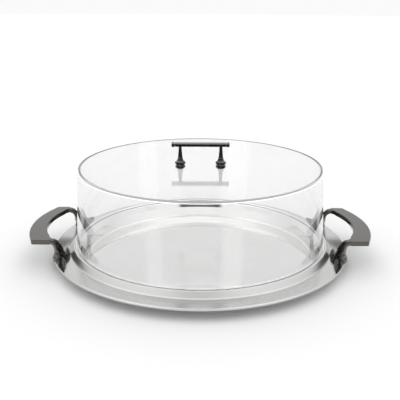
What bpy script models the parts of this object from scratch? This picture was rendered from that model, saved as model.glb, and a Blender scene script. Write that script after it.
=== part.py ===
"""Cheese dome: a clear cover with a bar handle on a round tray with two cast side handles.

Units are metres, +Z is up, and the origin is the centre of the tray's flat underside.
The side handles lie on the X axis and the cover lifts straight up along Z.
"""
from math import asin, atan2, cos, degrees, hypot, pi, radians, sin

import bmesh
import bpy
from mathutils import Matrix, Vector

MM = 0.001
GAP = 0.3 * MM                     # clearance kept between pieces that touch

# Tray: one pressed sheet
SHEET = 1.0 * MM
FLOOR_RADIUS = 133.0 * MM
FLOOR_FILLET = 8.0 * MM
SEAT_HEIGHT = 20.4 * MM            # top face of the ring that carries the cover
SEAT_INNER_RADIUS = 145.0 * MM
SEAT_OUTER_RADIUS = 148.9 * MM
SEAT_FILLET = 1.5 * MM
WALL_LEAN = 12.0                   # degrees from upright
LIP_HEIGHT = 21.2 * MM
LIP_INNER_RADIUS = 149.7 * MM
LIP_OUTER_RADIUS = 151.2 * MM
RISER_FOOT_RADIUS = 154.3 * MM
RISER_FOOT_RISE = 1.0 * MM
RIM_INNER_RADIUS = 155.5 * MM
RIM_HEIGHT = 14.0 * MM             # top face of the rim
RIM_RADIUS = 175.0 * MM
RIM_EDGE_FILLET = 1.0 * MM
RIM_EDGE_DROP = 2.4 * MM

# Cover: one clear moulding
WALL = 2.8 * MM
LID = 2.8 * MM
LID_TOP = 112.0 * MM
COVER_FOOT_RADIUS = 147.4 * MM
COVER_TOP_RADIUS = 142.1 * MM
COVER_EDGE_FILLET = 2.0 * MM
COVER_INNER_FILLET = 0.8 * MM

# Bar handle on the lid
POST_OFFSET = 23.75 * MM
BAR_HEIGHT = 135.5 * MM            # axis of the bar
BAR_RADIUS = 2.65 * MM
BAR_HALF_LENGTH = 33.8 * MM        # to the outer faces of the end caps
CAP_RADIUS = 3.0 * MM
CAP_LENGTH = 3.4 * MM
CAP_SPIGOT_RADIUS = 1.4 * MM
CAP_SPIGOT_LENGTH = 4.0 * MM
POST_FOOT_RADIUS = 2.65 * MM
POST_HEAD_RADIUS = 1.75 * MM
POST_SPIGOT_RADIUS = 1.1 * MM
FLANGE_RADIUS = 6.35 * MM
FLANGE_NECK_RADIUS = 3.5 * MM
FLANGE_HEIGHT = 5.2 * MM
GASKET_RADIUS = 5.6 * MM
GASKET_THICKNESS = 0.5 * MM
WASHER_RADIUS = 5.0 * MM
WASHER_THICKNESS = 0.5 * MM
NUT_RADIUS = 5.8 * MM
NUT_HEIGHT = 3.8 * MM
NUT_BORE_DEPTH = 2.6 * MM
NUT_SKIRT = 1.2 * MM               # straight part above the dome

# M4 threads, drawn as plain shanks
SCREW_RADIUS = 2.0 * MM
BORE_RADIUS = SCREW_RADIUS + GAP
SCREW_HEAD_RADIUS = 3.5 * MM
SCREW_HEAD_HEIGHT = 2.2 * MM
SCREW_SOCKET_RADIUS = 1.45 * MM
SCREW_SOCKET_DEPTH = 1.2 * MM
SCREW_REACH = 5.5 * MM             # thread length inside the casting

# Side handles: right-hand casting, mirrored for the left
GRIP_TOP = 38.7 * MM
GRIP_THICKNESS = 5.3 * MM
GRIP_EDGE_BEVEL = 0.8 * MM
GRIP_HALF_LENGTH = 60.0 * MM
GRIP_NEAR_CORNER = 1.5 * MM
GRIP_FAR_CORNER = 6.0 * MM
GRIP_OUTER_CENTRE = 69.0 * MM
GRIP_OUTER_SET = -6.0 * MM          # the outer arc is struck from a point set forward
GRIP_OUTER_RADIUS = 132.0 * MM
GRIP_INNER_CENTRE = 85.0 * MM
GRIP_INNER_RADIUS = 97.5 * MM
GRIP_INNER_HALF_LENGTH = 43.0 * MM
GRIP_ROOT = 169.0 * MM             # X where the plate ends and the legs go on
LEG_WIDTH = 10.0 * MM
FOOT_BASE = RIM_HEIGHT + GAP
SCREW_X = 156.8 * MM
SCREW_Y = 61.0 * MM

# Leg stations: X, Y (towards the near end), Z of the centre, half width, half thickness, twist
LEG_STATIONS = (
    (174.0, 55.0, 36.05, 4.9, 2.55, 0),
    (168.0, 55.0, 35.85, 4.9, 2.6, 0),
    (164.9, 55.3, 34.90, 4.9, 2.8, 5),
    (162.3, 56.1, 32.60, 4.8, 3.0, 14),
    (160.3, 57.4, 29.00, 4.6, 3.4, 26),
    (158.7, 59.0, 24.40, 4.5, 3.7, 36),
    (157.6, 60.4, 19.80, 4.5, 3.8, 44),
    (157.0, 61.2, 15.00, 4.5, 3.8, 45),
)

# Foot petals: X, Y of the centre line, half width, height above the rim
TIP_PETAL = (
    (157.2, 57.0, 3.6, 6.4),
    (156.2, 63.0, 5.0, 7.0),
    (154.5, 71.0, 4.8, 5.6),
    (151.9, 80.0, 3.6, 3.9),
    (148.2, 89.8, 0.7, 1.4),
)
OUTER_PETAL = (
    (157.4, 65.0, 2.4, 4.6),
    (160.4, 62.8, 3.3, 7.4),
    (163.0, 59.2, 3.6, 9.2),
    (164.4, 55.6, 2.9, 8.8),
    (164.8, 53.4, 1.2, 5.4),
)
INNER_PETAL = (
    (156.0, 66.0, 2.4, 4.4),
    (153.6, 60.0, 3.2, 5.6),
    (152.8, 51.0, 3.7, 7.2),
    (153.8, 42.0, 3.7, 8.2),
    (155.0, 36.6, 3.3, 7.2),
    (155.6, 33.6, 1.2, 4.2),
)

ROUND_STEPS = 64                   # facets round the tray and the cover
SMALL_STEPS = 20                   # facets round small turned pieces

FINISHES = {
    # name: colour, metallic, roughness, transmission
    "polished_steel": ((0.78, 0.78, 0.77), 1.0, 0.08, 0.0),
    "clear_acrylic": ((0.98, 0.98, 0.98), 0.0, 0.03, 1.0),
    "dark_cast_metal": ((0.17, 0.16, 0.15), 1.0, 0.22, 0.0),
    "dark_turned_metal": ((0.20, 0.19, 0.18), 1.0, 0.15, 0.0),
    "steel_fastener": ((0.60, 0.60, 0.58), 1.0, 0.30, 0.0),
    "clear_washer": ((0.90, 0.90, 0.90), 0.0, 0.30, 0.6),
}


def clear_scene():
    for thing in list(bpy.data.objects):
        bpy.data.objects.remove(thing, do_unlink=True)


def finish_material(name):
    found = bpy.data.materials.get(name)
    if found:
        return found
    colour, metallic, roughness, transmission = FINISHES[name]
    material = bpy.data.materials.new(name)
    material.use_nodes = True
    shader = material.node_tree.nodes["Principled BSDF"]
    shader.inputs["Base Color"].default_value = (*colour, 1.0)
    shader.inputs["Metallic"].default_value = metallic
    shader.inputs["Roughness"].default_value = roughness
    shader.inputs["Transmission Weight"].default_value = transmission
    return material


def new_piece(name, bm, finish, location=(0.0, 0.0, 0.0)):
    """Turn a bmesh into a smooth-shaded object of its own."""
    bmesh.ops.recalc_face_normals(bm, faces=bm.faces)
    mesh = bpy.data.meshes.new(name)
    bm.to_mesh(mesh)
    bm.free()
    mesh.materials.append(finish_material(finish))
    mesh.shade_smooth()
    mesh.set_sharp_from_angle(angle=radians(35))
    piece = bpy.data.objects.new(name, mesh)
    piece.location = location
    bpy.context.scene.collection.objects.link(piece)
    return piece


def arc(centre_r, centre_z, radius, start, end, steps):
    """Points along an arc, from one angle in degrees to another."""
    angles = [radians(start + (end - start) * i / steps) for i in range(steps + 1)]
    return [(centre_r + radius * cos(a), centre_z + radius * sin(a)) for a in angles]


def sheet_outline(path, thickness):
    """Close an open path into a sheet that lies on the right-hand side of it."""
    under = []
    for i, (r, z) in enumerate(path):
        r0, z0 = path[max(i - 1, 0)]
        r1, z1 = path[min(i + 1, len(path) - 1)]
        into = Vector((r - r0, z - z0))
        out = Vector((r1 - r, z1 - z))
        into = into.normalized() if into.length else out.normalized()
        out = out.normalized() if out.length else into
        normal = (Vector((into.y, -into.x)) + Vector((out.y, -out.x))).normalized()
        reach = thickness / max(normal.dot(Vector((into.y, -into.x))), 0.5)
        under.append((max(r + normal.x * reach, 0.0), z + normal.y * reach))
    return path + under[::-1]


def turned_mesh(outline, steps, lobes=0, lobe_depth=0.0):
    """Turn an outline of (radius, height) points about Z; lobes scallop the outside."""
    bm = bmesh.new()
    verts = [bm.verts.new((r, 0.0, z)) for r, z in outline]
    edges = [bm.edges.new((a, b)) for a, b in zip(verts, verts[1:])]
    if outline[0][0] > 0.0 or outline[-1][0] > 0.0:
        edges.append(bm.edges.new((verts[-1], verts[0])))
    bmesh.ops.spin(bm, geom=verts + edges, axis=(0, 0, 1), cent=(0, 0, 0),
                   angle=2 * pi, steps=steps, use_merge=True)
    bmesh.ops.remove_doubles(bm, verts=bm.verts, dist=1e-7)
    if lobes:
        widest = max(r for r, _ in outline)
        for vert in bm.verts:
            radius = hypot(vert.co.x, vert.co.y)
            share = max(radius - FLANGE_NECK_RADIUS, 0.0) / (widest - FLANGE_NECK_RADIUS)
            wave = 0.5 - 0.5 * cos(lobes * atan2(vert.co.y, vert.co.x))
            scale = 1.0 - lobe_depth * share * wave
            vert.co.x *= scale
            vert.co.y *= scale
    return bm


def turned(name, outline, finish, steps=SMALL_STEPS, location=(0.0, 0.0, 0.0)):
    return new_piece(name, turned_mesh(outline, steps), finish, location)


def cut(piece, cutter):
    """Subtract a hidden wire-drawn cutter from a piece."""
    cutter.hide_render = True
    cutter.display_type = "WIRE"
    modifier = piece.modifiers.new("cut_" + cutter.name, "BOOLEAN")
    modifier.operation = "DIFFERENCE"
    modifier.solver = "EXACT"
    modifier.object = cutter


def join(piece, other):
    """Add a hidden wire-drawn solid to a piece."""
    other.hide_render = True
    other.display_type = "WIRE"
    modifier = piece.modifiers.new("join_" + other.name, "BOOLEAN")
    modifier.operation = "UNION"
    modifier.solver = "EXACT"
    modifier.object = other


def round_cutter(name, radius, low, high, location=(0.0, 0.0), steps=SMALL_STEPS):
    outline = [(0.0, low), (radius, low), (radius, high), (0.0, high)]
    return turned(name, outline, "steel_fastener", steps, (*location, 0.0))


# Tray ---------------------------------------------------------------------------------------

def build_tray():
    floor_top = SHEET
    path = [(0.0, floor_top)]
    path += arc(FLOOR_RADIUS, floor_top + FLOOR_FILLET, FLOOR_FILLET, -90, -WALL_LEAN, 4)
    path += arc(SEAT_INNER_RADIUS, SEAT_HEIGHT - SEAT_FILLET, SEAT_FILLET,
                180 - WALL_LEAN, 90, 3)
    path += [(SEAT_OUTER_RADIUS, SEAT_HEIGHT),
             (LIP_INNER_RADIUS, LIP_HEIGHT),
             (LIP_OUTER_RADIUS, LIP_HEIGHT),
             (RISER_FOOT_RADIUS, RIM_HEIGHT + RISER_FOOT_RISE),
             (RIM_INNER_RADIUS, RIM_HEIGHT)]
    path += arc(RIM_RADIUS - RIM_EDGE_FILLET, RIM_HEIGHT - RIM_EDGE_FILLET,
                RIM_EDGE_FILLET, 90, 0, 3)
    path += [(RIM_RADIUS, RIM_HEIGHT - RIM_EDGE_DROP)]
    tray = turned("tray", sheet_outline(path, SHEET), "polished_steel", ROUND_STEPS)
    for side, end, label in handle_corners():
        cutter = round_cutter("hole_" + label, BORE_RADIUS, 0.0, 2 * RIM_HEIGHT,
                              (side * SCREW_X, end * SCREW_Y))
        cut(tray, cutter)


def handle_corners():
    """Sign of X, sign of Y and label of each of the four screwed feet."""
    return ((-1, -1, "left_front"), (-1, 1, "left_back"),
            (1, -1, "right_front"), (1, 1, "right_back"))


# Side handles -------------------------------------------------------------------------------

def grip_outline():
    """Plan of the crescent grip plate, anticlockwise, as (x, y) points."""
    centre = (GRIP_OUTER_CENTRE, GRIP_OUTER_SET, GRIP_OUTER_RADIUS)
    near_y = GRIP_NEAR_CORNER - GRIP_HALF_LENGTH
    far_y = GRIP_HALF_LENGTH - GRIP_FAR_CORNER
    outer = arc(*centre, degrees(asin((near_y - GRIP_OUTER_SET) / GRIP_OUTER_RADIUS)),
                degrees(asin((far_y - GRIP_OUTER_SET) / GRIP_OUTER_RADIUS)), 14)
    near_corner = arc(outer[0][0] - GRIP_NEAR_CORNER, near_y, GRIP_NEAR_CORNER, -90, -30, 2)
    far_corner = arc(outer[-1][0] - GRIP_FAR_CORNER, far_y, GRIP_FAR_CORNER, 30, 90, 4)
    reach = degrees(asin(GRIP_INNER_HALF_LENGTH / GRIP_INNER_RADIUS))
    inner = arc(GRIP_INNER_CENTRE, 0.0, GRIP_INNER_RADIUS, reach, -reach, 12)
    corner_x, corner_y = inner[0]
    leg_edge = GRIP_HALF_LENGTH - LEG_WIDTH
    bend_x = (corner_x + GRIP_ROOT) / 2 + 0.6 * MM
    bend_y = (corner_y + leg_edge) / 2 + 1.5 * MM
    far_end = [(GRIP_ROOT, GRIP_HALF_LENGTH), (GRIP_ROOT, leg_edge), (bend_x, bend_y)]
    near_end = [(x, -y) for x, y in reversed(far_end)]
    return near_corner + outer + far_corner + far_end + inner + near_end


def build_grip(name):
    bm = bmesh.new()
    base = bm.faces.new([bm.verts.new((x, y, GRIP_TOP - GRIP_THICKNESS))
                         for x, y in grip_outline()])
    top = bmesh.ops.extrude_face_region(bm, geom=[base])
    raised = [item for item in top["geom"] if isinstance(item, bmesh.types.BMVert)]
    bmesh.ops.translate(bm, verts=raised, vec=(0.0, 0.0, GRIP_THICKNESS))
    bmesh.ops.recalc_face_normals(bm, faces=bm.faces)
    rims = [edge for edge in bm.edges
            if abs(edge.verts[0].co.z - edge.verts[1].co.z) < 1e-7]
    bmesh.ops.bevel(bm, geom=rims, offset=GRIP_EDGE_BEVEL, segments=2, profile=0.5,
                    affect="EDGES", clamp_overlap=True)
    return new_piece(name, bm, "dark_cast_metal")


def loft(name, rings):
    """Skin a row of closed rings with the same number of points and cap both ends."""
    bm = bmesh.new()
    rows = [[bm.verts.new(point) for point in ring] for ring in rings]
    for row, following in zip(rows, rows[1:]):
        for i in range(len(row)):
            j = (i + 1) % len(row)
            bm.faces.new((row[i], row[j], following[j], following[i]))
    bm.faces.new(rows[0][::-1])
    bm.faces.new(rows[-1])
    return new_piece(name, bm, "dark_cast_metal")


def build_leg(name, end):
    """A bar that leaves the grip, bends down and turns its edge to the front as a ridge."""
    rings = []
    centres = [Vector((x, end * y, z)) * MM for x, y, z, *_ in LEG_STATIONS]
    for i, (_, _, _, half_width, half_thickness, twist) in enumerate(LEG_STATIONS):
        tangent = (centres[min(i + 1, len(centres) - 1)] - centres[max(i - 1, 0)]).normalized()
        across = Vector((0.0, end, 0.0))
        across = (across - tangent * across.dot(tangent)).normalized()
        thick = tangent.cross(across)
        if thick.z < 0.0 or (abs(thick.z) < 0.5 and thick.x > 0.0):
            thick = -thick
        turn = radians(twist)
        wide = (across * cos(turn) - thick * sin(turn)) * half_width * MM
        deep = (thick * cos(turn) + across * sin(turn)) * half_thickness * MM
        soft = 0.72
        corners = ((1, soft), (soft, 1), (-soft, 1), (-1, soft),
                   (-1, -soft), (-soft, -1), (soft, -1), (1, -soft))
        rings.append([centres[i] + wide * u + deep * v for u, v in corners])
    return loft(name, rings)


def build_petal(name, stations, end):
    """A leaf of the foot: flat below, rising to a ridge along its centre line."""
    rings = []
    points = [Vector((x, end * y, 0.0)) * MM for x, y, *_ in stations]
    for i, (_, _, half_width, height) in enumerate(stations):
        tangent = (points[min(i + 1, len(points) - 1)] - points[max(i - 1, 0)]).normalized()
        side = Vector((-tangent.y, tangent.x, 0.0)) * half_width * MM
        base = points[i] + Vector((0.0, 0.0, FOOT_BASE))
        rise = Vector((0.0, 0.0, height * MM))
        rings.append([base - side, base + side, base + side + rise * 0.35,
                      base + side * 0.5 + rise * 0.8, base + rise,
                      base - side * 0.5 + rise * 0.8, base - side + rise * 0.35])
    return loft(name, rings)


def build_handle_casting(name, mirrored):
    """Grip, two legs and two three-lobed feet in one casting, drilled for its screws."""
    casting = build_grip(name)
    parts = []
    for end, label in ((-1, "front"), (1, "back")):
        parts.append(build_leg(f"{name}_leg_{label}", end))
        for petal, stations in (("tip", TIP_PETAL), ("outer", OUTER_PETAL),
                                ("inner", INNER_PETAL)):
            parts.append(build_petal(f"{name}_{petal}_{label}", stations, end))
    cutters = [round_cutter(f"{name}_bore_{label}", BORE_RADIUS, RIM_HEIGHT - SHEET,
                            FOOT_BASE + SCREW_REACH + GAP, (SCREW_X, end * SCREW_Y), 16)
               for end, label in ((-1, "front"), (1, "back"))]
    if mirrored:
        for piece in [casting, *parts, *cutters]:
            piece.data.transform(Matrix.Diagonal((-1.0, 1.0, 1.0, 1.0)))
            piece.data.flip_normals()
            piece.location.x = -piece.location.x
    for other in parts:
        join(casting, other)
    for cutter in cutters:
        cut(casting, cutter)


def build_handle_fastener(side, end, label):
    """Pan head screw with a hexagon socket, and its washer, under the rim."""
    place = (side * SCREW_X, end * SCREW_Y, 0.0)
    washer_top = RIM_HEIGHT - SHEET - GAP
    washer_low = washer_top - WASHER_THICKNESS
    ring = [(BORE_RADIUS, washer_low), (WASHER_RADIUS - 0.6 * MM, washer_low),
            (WASHER_RADIUS - 0.6 * MM, washer_top), (BORE_RADIUS, washer_top)]
    side_name, end_name = label.split("_")
    turned(f"{side_name}_handle_washer_{end_name}", ring, "steel_fastener", location=place)

    head_top = washer_low - GAP
    head_low = head_top - SCREW_HEAD_HEIGHT
    tip = FOOT_BASE + SCREW_REACH
    chamfer = 0.4 * MM
    outline = [(0.0, head_low), (SCREW_HEAD_RADIUS - 2 * chamfer, head_low),
               (SCREW_HEAD_RADIUS, head_low + 2 * chamfer), (SCREW_HEAD_RADIUS, head_top),
               (SCREW_RADIUS, head_top), (SCREW_RADIUS, tip - chamfer),
               (SCREW_RADIUS - chamfer, tip), (0.0, tip)]
    screw = turned(f"{side_name}_handle_screw_{end_name}", outline, "steel_fastener",
                   location=place)
    socket = round_cutter(f"socket_{label}", SCREW_SOCKET_RADIUS, head_low - 1.0 * MM,
                          head_low + SCREW_SOCKET_DEPTH, place[:2], 6)
    cut(screw, socket)


# Cover --------------------------------------------------------------------------------------

def build_cover_shell():
    foot = SEAT_HEIGHT + GAP
    edge_z = LID_TOP - COVER_EDGE_FILLET
    inner_edge_z = LID_TOP - LID - COVER_INNER_FILLET
    outer = arc(COVER_TOP_RADIUS - COVER_EDGE_FILLET, edge_z, COVER_EDGE_FILLET, 0, 90, 4)
    inner = arc(COVER_TOP_RADIUS - WALL - COVER_INNER_FILLET, inner_edge_z,
                COVER_INNER_FILLET, 90, 0, 2)
    outline = [(COVER_FOOT_RADIUS - WALL, foot), (COVER_FOOT_RADIUS, foot)]
    outline += outer + [(0.0, LID_TOP), (0.0, LID_TOP - LID)] + inner
    start = outline.index((0.0, LID_TOP - LID))
    shell = turned("cover_shell", outline[start:] + outline[:start], "clear_acrylic",
                   ROUND_STEPS)
    for side, label in ((-1, "left"), (1, "right")):
        cut(shell, round_cutter(f"lid_hole_{label}", BORE_RADIUS, LID_TOP - 2 * LID,
                                LID_TOP + LID, (side * POST_OFFSET, 0.0), 16))


def lay_along_x(piece, towards):
    """Turn a piece made along Z so that its +Z points to +X or -X, at the bar's height."""
    piece.rotation_euler = (0.0, towards * pi / 2, 0.0)


def build_grip_bar():
    length = BAR_HALF_LENGTH - CAP_LENGTH - GAP
    bore = CAP_SPIGOT_RADIUS + GAP
    depth = CAP_SPIGOT_LENGTH + GAP
    outline = [(0.0, -length + depth), (bore, -length + depth), (bore, -length),
               (BAR_RADIUS, -length), (BAR_RADIUS, length), (bore, length),
               (bore, length - depth), (0.0, length - depth)]
    bar = turned("grip_bar", outline, "dark_turned_metal", location=(0.0, 0.0, BAR_HEIGHT))
    lay_along_x(bar, 1)
    for side, label in ((-1, "left"), (1, "right")):
        cut(bar, round_cutter(f"bar_hole_{label}", POST_SPIGOT_RADIUS + GAP,
                              BAR_HEIGHT - 2 * BAR_RADIUS, BAR_HEIGHT,
                              (side * POST_OFFSET, 0.0), 16))
        build_bar_cap(side, label)


def build_bar_cap(side, label):
    """A turned button with a slightly crowned face and a spigot pressed into the bar."""
    base = BAR_HALF_LENGTH - CAP_LENGTH
    chamfer = 0.5 * MM
    outline = [(0.0, base - CAP_SPIGOT_LENGTH), (CAP_SPIGOT_RADIUS, base - CAP_SPIGOT_LENGTH),
               (CAP_SPIGOT_RADIUS, base), (CAP_RADIUS - chamfer / 2, base),
               (CAP_RADIUS, base + chamfer / 2), (CAP_RADIUS, BAR_HALF_LENGTH - chamfer),
               (CAP_RADIUS - chamfer, BAR_HALF_LENGTH), (0.0, BAR_HALF_LENGTH)]
    cap = turned(f"grip_bar_cap_{label}", outline, "dark_turned_metal",
                 location=(0.0, 0.0, BAR_HEIGHT))
    lay_along_x(cap, side)


def build_post_stack(side, label):
    """Post, flange, gasket, washer and cap nut on one of the cover's two holes."""
    place = (side * POST_OFFSET, 0.0, 0.0)
    gasket_low = LID_TOP + GAP
    gasket_top = gasket_low + GASKET_THICKNESS
    gasket = [(BORE_RADIUS, gasket_low), (GASKET_RADIUS, gasket_low),
              (GASKET_RADIUS, gasket_top), (BORE_RADIUS, gasket_top)]
    turned(f"grip_gasket_{label}", gasket, "clear_washer", location=place)

    flange_low = gasket_top + GAP
    flange_top = flange_low + FLANGE_HEIGHT
    waist = flange_low + 0.72 * FLANGE_HEIGHT
    flange = [(BORE_RADIUS, flange_low), (0.92 * FLANGE_RADIUS, flange_low),
              (FLANGE_RADIUS, flange_low + 0.06 * FLANGE_HEIGHT),
              (0.97 * FLANGE_RADIUS, flange_low + 0.24 * FLANGE_HEIGHT),
              (0.82 * FLANGE_RADIUS, flange_low + 0.46 * FLANGE_HEIGHT),
              (FLANGE_NECK_RADIUS, waist), (FLANGE_NECK_RADIUS, flange_top - 0.3 * MM),
              (FLANGE_NECK_RADIUS - 0.3 * MM, flange_top), (BORE_RADIUS, flange_top)]
    bm = turned_mesh(flange, SMALL_STEPS, lobes=4, lobe_depth=0.16)
    new_piece(f"grip_flange_{label}", bm, "dark_turned_metal", place)

    washer_top = LID_TOP - LID - GAP
    washer_low = washer_top - WASHER_THICKNESS
    washer = [(BORE_RADIUS, washer_low), (WASHER_RADIUS, washer_low),
              (WASHER_RADIUS, washer_top), (BORE_RADIUS, washer_top)]
    turned(f"grip_washer_{label}", washer, "clear_washer", location=place)

    nut_top = washer_low - GAP
    nut_low = nut_top - NUT_HEIGHT
    skirt_low = nut_top - NUT_SKIRT
    dome = [(NUT_RADIUS * r, skirt_low + z * (skirt_low - nut_low))
            for r, z in arc(0.0, 0.0, 1.0, -90, 0, 5)]
    nut = [(0.0, nut_low)] + dome[1:]
    nut += [(NUT_RADIUS, nut_top), (BORE_RADIUS, nut_top),
            (BORE_RADIUS, nut_top - NUT_BORE_DEPTH), (0.0, nut_top - NUT_BORE_DEPTH)]
    turned(f"grip_nut_{label}", nut, "dark_turned_metal", location=place)

    shoulder = flange_top + GAP
    head = BAR_HEIGHT - BAR_RADIUS - GAP
    tip = nut_top - NUT_BORE_DEPTH + GAP
    bead = 0.8 * MM
    post = [(0.0, tip), (SCREW_RADIUS, tip), (SCREW_RADIUS, shoulder),
            (POST_FOOT_RADIUS + bead / 2, shoulder), (POST_FOOT_RADIUS + bead, shoulder + bead / 2),
            (POST_FOOT_RADIUS + bead / 2, shoulder + bead), (POST_FOOT_RADIUS, shoulder + 2 * bead),
            (POST_HEAD_RADIUS, head - bead), (POST_HEAD_RADIUS + bead / 4, head - bead / 2),
            (POST_HEAD_RADIUS, head), (POST_SPIGOT_RADIUS, head),
            (POST_SPIGOT_RADIUS, BAR_HEIGHT - GAP), (0.0, BAR_HEIGHT - GAP)]
    turned(f"grip_post_{label}", post, "dark_turned_metal", location=place)


def main():
    clear_scene()
    build_tray()
    build_handle_casting("right_handle", mirrored=False)
    build_handle_casting("left_handle", mirrored=True)
    for side, end, label in handle_corners():
        build_handle_fastener(side, end, label)
    build_cover_shell()
    build_grip_bar()
    for side, label in ((-1, "left"), (1, "right")):
        build_post_stack(side, label)


main()
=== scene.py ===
"""Visual model of a cheese dome: a clear cover with a bar handle on a round steel tray.

Sizes in the dataclasses are millimetres; meshes are made in metres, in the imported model's
own frame, with +Z up and the origin under the middle of the tray.
"""
import logging
import math
from dataclasses import dataclass
from enum import Enum
from typing import Callable, Sequence, Union

import bmesh
import bpy
import numpy as np
from mathutils import Matrix, Vector

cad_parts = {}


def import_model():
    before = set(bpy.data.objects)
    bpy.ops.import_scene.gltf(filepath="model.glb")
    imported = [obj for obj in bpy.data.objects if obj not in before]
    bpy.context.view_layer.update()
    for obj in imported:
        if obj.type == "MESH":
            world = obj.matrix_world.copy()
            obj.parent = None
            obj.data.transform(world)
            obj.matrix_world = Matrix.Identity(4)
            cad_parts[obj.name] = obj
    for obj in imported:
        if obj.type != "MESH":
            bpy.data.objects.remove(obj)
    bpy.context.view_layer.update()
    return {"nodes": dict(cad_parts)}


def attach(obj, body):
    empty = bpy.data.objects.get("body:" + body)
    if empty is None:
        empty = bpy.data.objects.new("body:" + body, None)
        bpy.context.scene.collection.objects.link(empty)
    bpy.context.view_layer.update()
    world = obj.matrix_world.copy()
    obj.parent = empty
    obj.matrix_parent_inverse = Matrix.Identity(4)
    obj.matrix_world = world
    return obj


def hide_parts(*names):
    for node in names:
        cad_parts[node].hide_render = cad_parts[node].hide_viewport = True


MM = 0.001
SCREW_X, SCREW_Y = 156.8, 61.0
POST_X = 23.75
BORE_RADIUS = 2.3
log = logging.getLogger("cheese_dome")

Point = tuple[float, float]
Colour = tuple[float, float, float]
Value = Union["Signal", float]


class Slot(Enum):
    """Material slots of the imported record."""

    STEEL = "polished_steel"
    ACRYLIC = "clear_acrylic"
    CASTING = "dark_cast_metal"
    TURNED = "dark_turned_metal"
    FASTENER = "steel_fastener"
    WASHER = "clear_washer"


class Body(Enum):
    """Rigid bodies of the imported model."""

    BASE = "base"
    COVER = "cover"


class Side(Enum):
    """Sign of X for the left and right hand side."""

    LEFT = -1
    RIGHT = 1

    @property
    def label(self) -> str:
        """Lower-case word used in node names."""
        return self.name.lower()


# Shaders ------------------------------------------------------------------------------------


def arithmetic(operation: str, swapped: bool = False) -> Callable[["Signal", Value], "Signal"]:
    """Make one operator of Signal.

    Args:
        operation: the Math node's operation.
        swapped: put the other value first.

    Returns:
        The method that stands for the operator.
    """
    def method(self: "Signal", other: Value) -> "Signal":
        """Add one Math node on the two values."""
        first, second = (other, self) if swapped else (self, other)
        return self.builder.node("ShaderNodeMath", {"operation": operation},
                                 {0: first, 1: second})
    return method


class Signal:
    """A number carried by a node socket, with ordinary arithmetic."""

    def __init__(self, builder: "ShaderBuilder", socket: bpy.types.NodeSocket) -> None:
        """Wrap a socket.

        Args:
            builder: the builder that adds the Math nodes.
            socket: the output socket to wrap.
        """
        self.builder = builder
        self.socket = socket

    __add__, __radd__ = arithmetic("ADD"), arithmetic("ADD", True)
    __sub__, __rsub__ = arithmetic("SUBTRACT"), arithmetic("SUBTRACT", True)
    __mul__, __rmul__ = arithmetic("MULTIPLY"), arithmetic("MULTIPLY", True)
    __pow__ = arithmetic("POWER")

    def above(self, threshold: float, softness: float) -> "Signal":
        """Mask that rises from 0 to 1 across a threshold.

        Args:
            threshold: the value at the middle of the rise.
            softness: the width of the rise.

        Returns:
            A value from 0 to 1.
        """
        return self.builder.node(
            "ShaderNodeMapRange", {"interpolation_type": "SMOOTHSTEP"},
            {"Value": self, "From Min": threshold - softness / 2,
             "From Max": threshold + softness / 2, "To Min": 0.0, "To Max": 1.0})

    def spread(self, low: float, high: float) -> "Signal":
        """Map 0..1 onto low..high."""
        return self * (high - low) + low


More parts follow.
